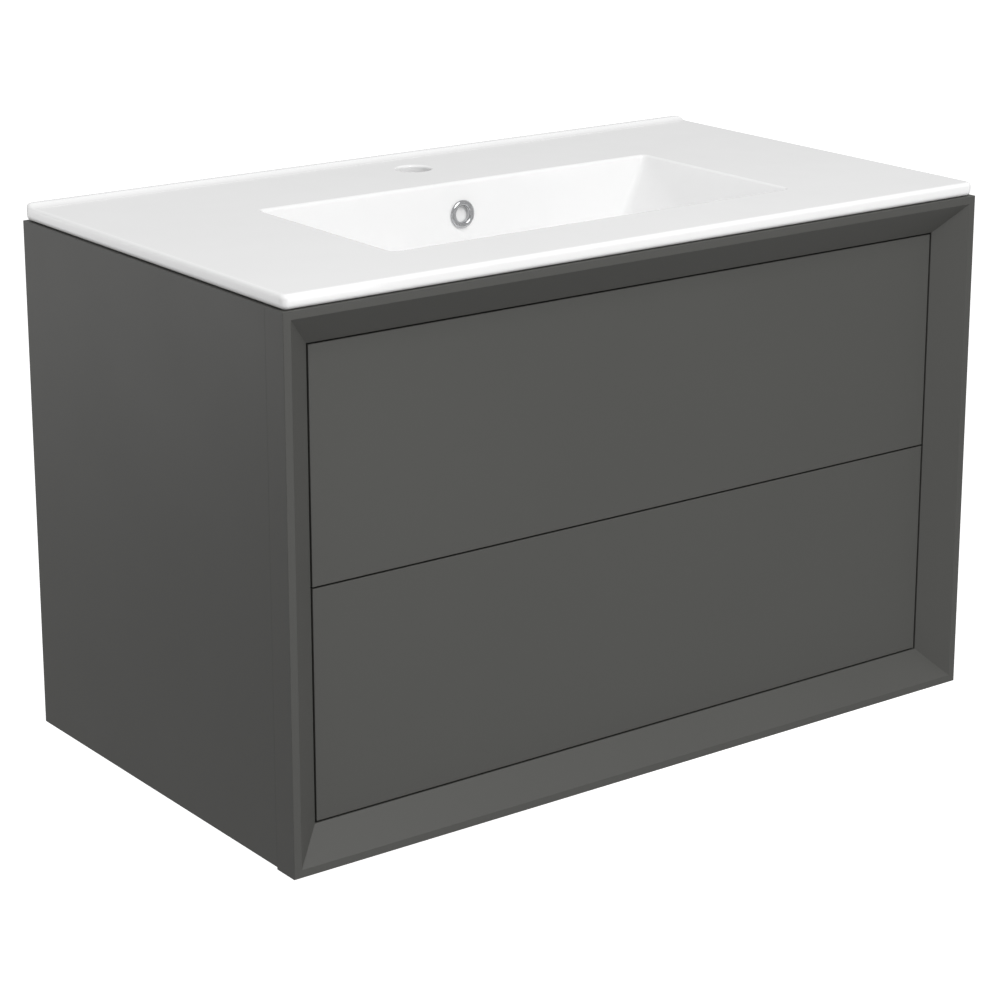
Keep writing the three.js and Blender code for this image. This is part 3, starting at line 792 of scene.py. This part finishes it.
BOWL_HALF = 0.232
BOWL_FRONT = -0.366
BOWL_BACK = -0.148
BOWL_DEPTH = 0.11
BOWL_LEAN = {"side": 0.054, "front": 0.02, "back": 0.005}
BOWL_LIP = 0.004
BOWL_FILLET = 0.016
BOWL_CORNER = 0.006
BOWL_LOW_CORNER = 0.018
BOWL_WALL = 0.009
BOWL_FALL = 0.004
LIP_STEPS = 6
WALL_STEPS = 4
FILLET_STEPS = 8
FLOOR_STEPS = 8
ACROSS = tuple(i / 24 for i in range(1, 24))
ALONG = tuple(i / 12 for i in range(1, 12))
OUTLET_Y = -0.2495
OUTLET_RADIUS = 0.023
OUTLET_RECESS = 0.032
OUTLET_BOSS = 0.036
TAP_HOLE_Y = -0.067
TAP_HOLE_RADIUS = 0.0175
OVERFLOW_Z = 0.031
OVERFLOW_HOLE = 0.01
OVERFLOW_RECESS = 0.0035


def rounded_loop(low, high, radius, across=(), along=()):
    """A rounded rectangle from its front right corner, turning left. across and along are the shares of the
    straight front and back, and of the straight sides, where more points lie."""
    centres = [
        (high[0] - radius, low[1] + radius),
        (high[0] - radius, high[1] - radius),
        (low[0] + radius, high[1] - radius),
        (low[0] + radius, low[1] + radius),
    ]
    shares = [along, across, [1 - s for s in reversed(along)], [1 - s for s in reversed(across)]]
    corners = [arc(centre, radius, 90 * i - 90, 90 * i, CORNER_STEPS) for i, centre in enumerate(centres)]
    points = []
    for i, corner in enumerate(corners):
        points += corner
        start, end = Vector(corner[-1]), Vector(corners[(i + 1) % 4][0])
        points += [tuple(start.lerp(end, share)) for share in shares[i]]
    return points


def upstand_rows():
    """Rows (y, rise) over the ridge, up its concave sweep and over the rounded edge of its crest."""
    foot, knee, top = (Vector(point) for point in UPSTAND_SWEEP)
    rows = []
    for i in range(UPSTAND_STEPS + 1):
        t = i / UPSTAND_STEPS
        rows.append(tuple(foot.lerp(knee, t).lerp(knee.lerp(top, t), t)))
    return [*rows, *UPSTAND_CREST, (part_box("basin")[1].y - SUPPORT_INSET, UPSTAND_RISE)]


def rise_at(y, rows):
    """The ridge's height above the deck at a distance from the wall."""
    if y <= rows[0][0]:
        return 0.0
    for (y0, z0), (y1, z1) in zip(rows, rows[1:]):
        if y <= y1:
            return z0 + (z1 - z0) * (y - y0) / (y1 - y0)
    return rows[-1][1]


def rim_rows():
    """Inset, depth below the deck and share of the ridge's rise, from the deck to the slab's underside."""
    thick = DECK - SLAB_LOW
    rows = [(SUPPORT_INSET, 0, 1)]
    for u, v in arc((RIM_TOP_ROUND, RIM_TOP_ROUND), RIM_TOP_ROUND, -90, -180, 8):
        rows.append((u, v, 1))
    low = thick - RIM_LOW_ROUND
    for i in range(7):
        angle = math.radians(90 * i / 6)
        rows.append((RIM_LOW_INSET * (1 - math.cos(angle)), low + RIM_LOW_ROUND * math.sin(angle), 0))
    rows.append((SUPPORT_INSET - 0.0005, thick, 0))
    return rows


def loop_verts(bm, points):
    """Vertices of a loop of points, sharing one where neighbours coincide."""
    verts = []
    for point in points:
        if verts and (verts[-1].co - Vector(point)).length < 1e-7:
            verts.append(verts[-1])
        else:
            verts.append(bm.verts.new(point))
    return verts


def add_rim(bm):
    """The slab's rounded edge. Returns its loop on the deck and its loop on the underside."""
    low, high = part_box("basin")
    ridge = upstand_rows()
    first = low.y + SUPPORT_INSET
    span = high.y - SUPPORT_INSET - first
    along = [(y - first) / span for y, _ in ridge[:-1]]
    loops = []
    for inset, depth, share in rim_rows():
        plan = rounded_loop((low.x + inset, low.y + inset), (high.x - inset, high.y - inset),
                            SUPPORT_INSET - inset, (), along)
        loops.append(loop_verts(bm, [(x, y, DECK - depth + share * rise_at(y, ridge)) for x, y in plan]))
    bridge(bm, loops)
    return loops[0], loops[-1], len(along)


def unique(verts):
    return list(dict.fromkeys(verts))


def ring_edges(bm, verts):
    """The edges round a closed loop, made where they don't exist yet."""
    verts = unique(verts)
    edges = []
    for a, b in zip(verts, verts[1:] + verts[:1]):
        edges.append(bm.edges.get((a, b)) or bm.edges.new((a, b)))
    return edges


def add_ridge(bm, deck_loop, row_count):
    """The ridge's strips between the two sides. Returns the flat deck's outline."""
    verts = unique(deck_loop)
    right = verts[1:1 + row_count]
    back_right, back_left = verts[1 + row_count], verts[2 + row_count]
    left = verts[3 + row_count:3 + 2 * row_count]
    rights = [*right, back_right]
    lefts = [*reversed(left), back_left]
    for i in range(row_count):
        bm.faces.new((rights[i], rights[i + 1], lefts[i + 1], lefts[i]))
    return [verts[0], rights[0], lefts[0], verts[-1]]


def bowl_section(lean):
    """Offset in from the mouth and depth, down a wall that leans in by lean over the bowl's depth."""
    angle = math.atan2(lean, BOWL_DEPTH)
    degrees = math.degrees(angle)
    lip_centre = -BOWL_LIP * (1 - math.sin(angle)) / math.cos(angle)
    lip = [(lip_centre + u, BOWL_LIP - v) for u, v in arc((0, 0), BOWL_LIP, 90, degrees, LIP_STEPS)]
    foot_centre = (BOWL_FILLET + (BOWL_DEPTH - BOWL_FILLET) * math.sin(angle)) / math.cos(angle)
    foot = [
        (foot_centre - u, BOWL_DEPTH - BOWL_FILLET + v)
        for u, v in arc((0, 0), BOWL_FILLET, degrees, 90, FILLET_STEPS)
    ]
    start, end = Vector(lip[-1]), Vector(foot[0])
    wall = [tuple(start.lerp(end, i / WALL_STEPS)) for i in range(1, WALL_STEPS)]
    return [(lip_centre - 0.001, 0.0), *lip, *wall, *foot]


def bowl_corner(k):
    """The plan radius of the bowl's corners on row k of its section."""
    lips, walls = LIP_STEPS + 1, LIP_STEPS + WALL_STEPS + 1
    if k <= lips:
        return BOWL_CORNER - bowl_section(BOWL_LEAN["back"])[k][0]
    share = min(1, (k - lips) / WALL_STEPS)
    radius = BOWL_CORNER + share * (BOWL_LOW_CORNER - BOWL_CORNER)
    if k > walls:
        turned = math.radians(90 * (k - walls) / FILLET_STEPS)
        radius -= BOWL_FILLET * (1 - math.cos(turned))
    return radius


def bowl_loops():
    """Rings of points down the inside of the bowl, from the deck to the edge of its floor."""
    side, front, back = (bowl_section(BOWL_LEAN[key]) for key in ("side", "front", "back"))
    loops = []
    for k in range(len(side)):
        half = BOWL_HALF - side[k][0]
        low = (-half, BOWL_FRONT + front[k][0])
        high = (half, BOWL_BACK - back[k][0])
        radius = bowl_corner(k)
        loop = []
        for x, y in rounded_loop(low, high, radius, ACROSS, ALONG):
            across = max(0.0, (abs(x) - (half - radius)) / radius)
            middle = (low[1] + high[1]) / 2
            ends = front[k][1] if y < middle else back[k][1]
            depth = ends + (side[k][1] - ends) * across**2
            loop.append((x, y, DECK - depth))
        loops.append(loop)
    return loops


def circle_like(loop, radius, height):
    """A ring about the outlet with a point in the direction of each point of a loop."""
    points = []
    for x, y, _ in loop:
        away = Vector((x, y - OUTLET_Y)).normalized() * radius
        points.append((away.x, OUTLET_Y + away.y, height))
    return points


def floor_loops(edge):
    """Rings from the floor's edge to the outlet's recess, and down its bore."""
    floor = DECK - BOWL_DEPTH
    goal = circle_like(edge, OUTLET_RECESS + 0.002, floor - BOWL_FALL)
    loops = []
    for i in range(1, FLOOR_STEPS + 1):
        share = i / FLOOR_STEPS
        loops.append([tuple(Vector(a).lerp(Vector(b), share)) for a, b in zip(edge, goal)])
    low = floor - BOWL_FALL
    seat = [
        (OUTLET_RECESS, -0.0006),
        (OUTLET_RECESS - 0.0008, -0.0022),
        (OUTLET_RECESS - 0.002, -0.003),
        (OUTLET_RADIUS + 0.003, -0.0036),
        (OUTLET_RADIUS + 0.0009, -0.0044),
        (OUTLET_RADIUS, -0.0066),
    ]
    loops += [circle_like(edge, radius, low + drop) for radius, drop in seat]
    return loops


def shell_loops(edge):
    """Rings from the outlet's lower end, up round the outside of the bowl to the slab's underside."""
    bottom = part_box("basin")[0].z
    floor = DECK - BOWL_DEPTH - BOWL_WALL
    loops = [
        circle_like(edge, OUTLET_RADIUS, bottom + 0.001),
        circle_like(edge, OUTLET_RADIUS + 0.001, bottom),
        circle_like(edge, OUTLET_BOSS - 0.0015, bottom),
        circle_like(edge, OUTLET_BOSS, bottom + 0.0015),
        circle_like(edge, OUTLET_BOSS, floor - 0.004),
        circle_like(edge, OUTLET_BOSS + 0.004, floor),
    ]
    spans = {"side": BOWL_LEAN["side"], "front": BOWL_LEAN["front"], "back": BOWL_LEAN["back"]}
    height = SLAB_LOW - floor
    for inset, rise in ((0.016, 0), (0.0065, 0.003), (0.0015, 0.009), (0, 0.018), (None, height)):
        share = rise / (DECK - floor)
        half = BOWL_HALF + BOWL_WALL - spans["side"] * (1 - share)
        front = BOWL_FRONT - BOWL_WALL + spans["front"] * (1 - share)
        back = BOWL_BACK + BOWL_WALL - spans["back"] * (1 - share)
        inset = inset or 0
        radius = max(BOWL_CORNER + BOWL_WALL - inset, 0.006)
        plan = rounded_loop((-half + inset, front + inset), (half - inset, back - inset), radius, ACROSS, ALONG)
        loops.append([(x, y, floor + rise) for x, y in plan])
    return loops


def add_tap_hole(bm):
    """The tap hole's glazed edge and bore. Returns its loops on the deck and on the underside."""
    centre = (0, TAP_HOLE_Y)
    edge = 0.0025
    rows = [(TAP_HOLE_RADIUS + edge + 0.001, DECK)]
    for u, v in arc((TAP_HOLE_RADIUS + edge, DECK - edge), edge, 90, 180, 6):
        rows.append((u, v))
    rows += [(TAP_HOLE_RADIUS, SLAB_LOW + 0.0006), (TAP_HOLE_RADIUS + 0.0006, SLAB_LOW),
             (TAP_HOLE_RADIUS + 0.002, SLAB_LOW)]
    loops = [ring(bm, radius, height, 56, centre) for radius, height in rows]
    bridge(bm, loops)
    return loops[0], loops[-1]


def basin_body():
    """The glazed slab and bowl as one closed skin."""
    bm = bmesh.new()
    deck_loop, under_loop, row_count = add_rim(bm)
    outline = add_ridge(bm, deck_loop, row_count)
    hole_top, hole_low = add_tap_hole(bm)
    inside = bowl_loops()
    edge = inside[-1]
    rows = [loop_verts(bm, loop) for loop in (*inside, *floor_loops(edge), *shell_loops(edge))]
    bridge(bm, rows)
    top = ring_edges(bm, outline) + ring_edges(bm, hole_top) + ring_edges(bm, rows[0])
    bmesh.ops.triangle_fill(bm, use_beauty=True, edges=top, normal=(0, 0, 1))
    under = ring_edges(bm, under_loop) + ring_edges(bm, hole_low) + ring_edges(bm, rows[-1])
    bmesh.ops.triangle_fill(bm, use_beauty=True, edges=under, normal=(0, 0, -1))
    return bm


def lean_place(y, z):
    """A place on the bowl's back wall whose Z axis points out of the wall, into the bowl."""
    lean = math.atan2(BOWL_LEAN["back"], BOWL_DEPTH)
    return Matrix.Translation((0, y, z)) @ Matrix.Rotation(math.pi / 2 - lean, 4, "X")


def wall_y(z):
    return BOWL_BACK - (DECK - z) * BOWL_LEAN["back"] / BOWL_DEPTH


def add_basin():
    bm = basin_body()
    mesh = mesh_from(bm, "basin_body", 40)
    duct = bmesh.new()
    front = wall_y(OVERFLOW_Z) + 0.004
    back = wall_y(OVERFLOW_Z) + 0.026
    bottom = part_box("basin")[0].z
    add_box(duct, (-0.025, front, bottom + 0.004), (0.025, back, SLAB_LOW + 0.006), 0.004)
    add_box(duct, (-0.0245, OUTLET_Y + 0.03, bottom + 0.0045), (0.0245, back - 0.004, bottom + 0.0155), 0.004)
    mesh = boolean(mesh, mesh_from(duct, "overflow_duct"), "UNION")
    bore = bmesh.new()
    profile = [(0, 0.004), (OVERFLOW_HOLE, 0.004), (OVERFLOW_HOLE, -OVERFLOW_RECESS), (0, -OVERFLOW_RECESS)]
    lathe(bore, profile, 64, lean_place(wall_y(OVERFLOW_Z), OVERFLOW_Z))
    mesh = boolean(mesh, mesh_from(bore, "overflow_bore"), "DIFFERENCE")
    weld(mesh)
    mesh.polygons.foreach_set("use_smooth", [True] * len(mesh.polygons))
    mesh.set_sharp_from_angle(angle=math.radians(40))
    link_piece("basin_piece", mesh, "basin", [GLAZE, BISQUE])
    for face in mesh.polygons:
        low_face = face.normal.z < -0.8 and face.center.z < SLAB_LOW + 0.0004
        if low_face:
            face.material_index = 1


RING_PROFILE = (
    (0.0081, -0.003),
    (0.0094, -0.003),
    (0.0096, -0.0028),
    (0.0096, 0.0),
    (0.0134, 0.0),
    (0.0139, 0.0004),
    (0.0139, 0.0009),
    (0.01365, 0.0015),
    (0.0131, 0.0021),
    (0.0122, 0.0026),
    (0.0111, 0.0028),
    (0.01, 0.0026),
    (0.0091, 0.0021),
    (0.0084, 0.0013),
    (0.0081, 0.0004),
)


def add_overflow_ring():
    """The chrome trim pressed into the overflow hole."""
    bm = bmesh.new()
    lathe(bm, RING_PROFILE, 96, lean_place(wall_y(OVERFLOW_Z) - 0.0003, OVERFLOW_Z), closed=True)
    link_piece("overflow_ring_piece", mesh_from(bm, "overflow_ring", 50), "overflow_ring", [CHROME])


# ---------------------------------------------------------------- stage, lights and camera


FLOOR_GLOW = 0.85
FLOOR_REACH = 40
FLOOR_DROP = 0.33


def camera_only(tree):
    """A value that is 1 where the camera looks directly and 0 for light that is passed on."""
    return tree.nodes.new("ShaderNodeLightPath").outputs["Is Camera Ray"]


def floor_finish():
    """Pale studio paper: it takes soft shadows, and its own glow is only for the eye, so it lights nothing."""
    finish = Finish("pale_floor", (0.5, 0.5, 0.5), 0.9)
    finish.shader.inputs["Specular IOR Level"].default_value = 0
    finish.shader.inputs["Emission Color"].default_value = (1, 1, 1, 1)
    glow = finish.ramp(camera_only(finish.tree), 0, FLOOR_GLOW, 0, 1)
    finish.tree.links.new(glow, finish.shader.inputs["Emission Strength"])
    return finish.material


def add_floor():
    """A plain pale floor, as far below the wall-hung cabinet as in use."""
    z = CAD_BOX[0][2] - FLOOR_DROP
    bm = bmesh.new()
    signs = ((-1, -1), (1, -1), (1, 1), (-1, 1))
    bm.faces.new([bm.verts.new((x * FLOOR_REACH, y * FLOOR_REACH, z)) for x, y in signs])
    mesh = bpy.data.meshes.new("floor")
    bm.to_mesh(mesh)
    bm.free()
    mesh.materials.append(floor_finish())
    floor = bpy.data.objects.new("floor", mesh)
    bpy.context.scene.collection.objects.link(floor)


def add_world():
    """An even studio surround: white where it is seen, and WORLD_LIGHT as bright where it lights things."""
    world = bpy.data.worlds.new("studio")
    bpy.context.scene.world = world
    world.use_nodes = True
    tree = world.node_tree
    lighting = tree.nodes["Background"]
    lighting.inputs["Color"].default_value = (1, 1, 1, 1)
    lighting.inputs["Strength"].default_value = WORLD_LIGHT
    seen = tree.nodes.new("ShaderNodeBackground")
    seen.inputs["Color"].default_value = (1, 1, 1, 1)
    seen.inputs["Strength"].default_value = 1.0
    mix = tree.nodes.new("ShaderNodeMixShader")
    tree.links.new(camera_only(tree), mix.inputs["Fac"])
    tree.links.new(lighting.outputs["Background"], mix.inputs[1])
    tree.links.new(seen.outputs["Background"], mix.inputs[2])
    tree.links.new(mix.outputs["Shader"], tree.nodes["World Output"].inputs["Surface"])


WORLD_LIGHT = 0.585
LIGHTS = {
    "front_low": ((0.3, -3.4, -1.2), 2.2, 45),
    "front_high": ((-0.2, -2.8, 2.6), 2.2, 76.5),
    "left_back": ((-1.1, 0.75, -0.05), 0.7, 1.9),
    "left_far_back": ((-2.6, 2.2, 0.3), 2.0, 2.8),
}


def add_lights():
    """Large soft boxes, each aimed at the middle of the object."""
    middle = (Vector(CAD_BOX[0]) + Vector(CAD_BOX[1])) / 2
    for name, (place, size, power) in LIGHTS.items():
        data = bpy.data.lights.new(name, "AREA")
        data.shape = "SQUARE"
        data.size = size
        data.energy = power
        light = bpy.data.objects.new(name, data)
        light.location = place
        light.visible_camera = False
        light.rotation_euler = (middle - Vector(place)).to_track_quat("-Z", "Y").to_euler()
        bpy.context.scene.collection.objects.link(light)


CAMERA_LENS = 103.37
CAMERA_SHIFT = -0.1
CAMERA_DISTANCE = 2.8281
CAMERA_AZIMUTH = -36.836
CAMERA_ELEVATION = 16.577
LOOK_AZIMUTH = -36.708
LOOK_DOWN = 15.583


def add_camera():
    """Left of the front and a little above, aimed almost at the object's middle."""
    middle = (Vector(CAD_BOX[0]) + Vector(CAD_BOX[1])) / 2
    turn, rise = math.radians(CAMERA_AZIMUTH), math.radians(CAMERA_ELEVATION)
    away = Vector((math.sin(turn) * math.cos(rise), -math.cos(turn) * math.cos(rise), math.sin(rise)))
    data = bpy.data.cameras.new("camera")
    data.lens = CAMERA_LENS
    data.shift_y = CAMERA_SHIFT
    data.clip_end = 200
    camera = bpy.data.objects.new("camera", data)
    camera.location = middle + away * CAMERA_DISTANCE
    camera.rotation_euler = (math.radians(90 - LOOK_DOWN), 0, math.radians(LOOK_AZIMUTH))
    bpy.context.scene.collection.objects.link(camera)
    bpy.context.scene.camera = camera
    bpy.context.scene.view_settings.view_transform = "Standard"


add_camera()
add_floor()
add_world()
add_lights()
add_carcass()
add_frame()
add_drawers()
add_runners()
add_hangers()
add_basin()
add_overflow_ring()
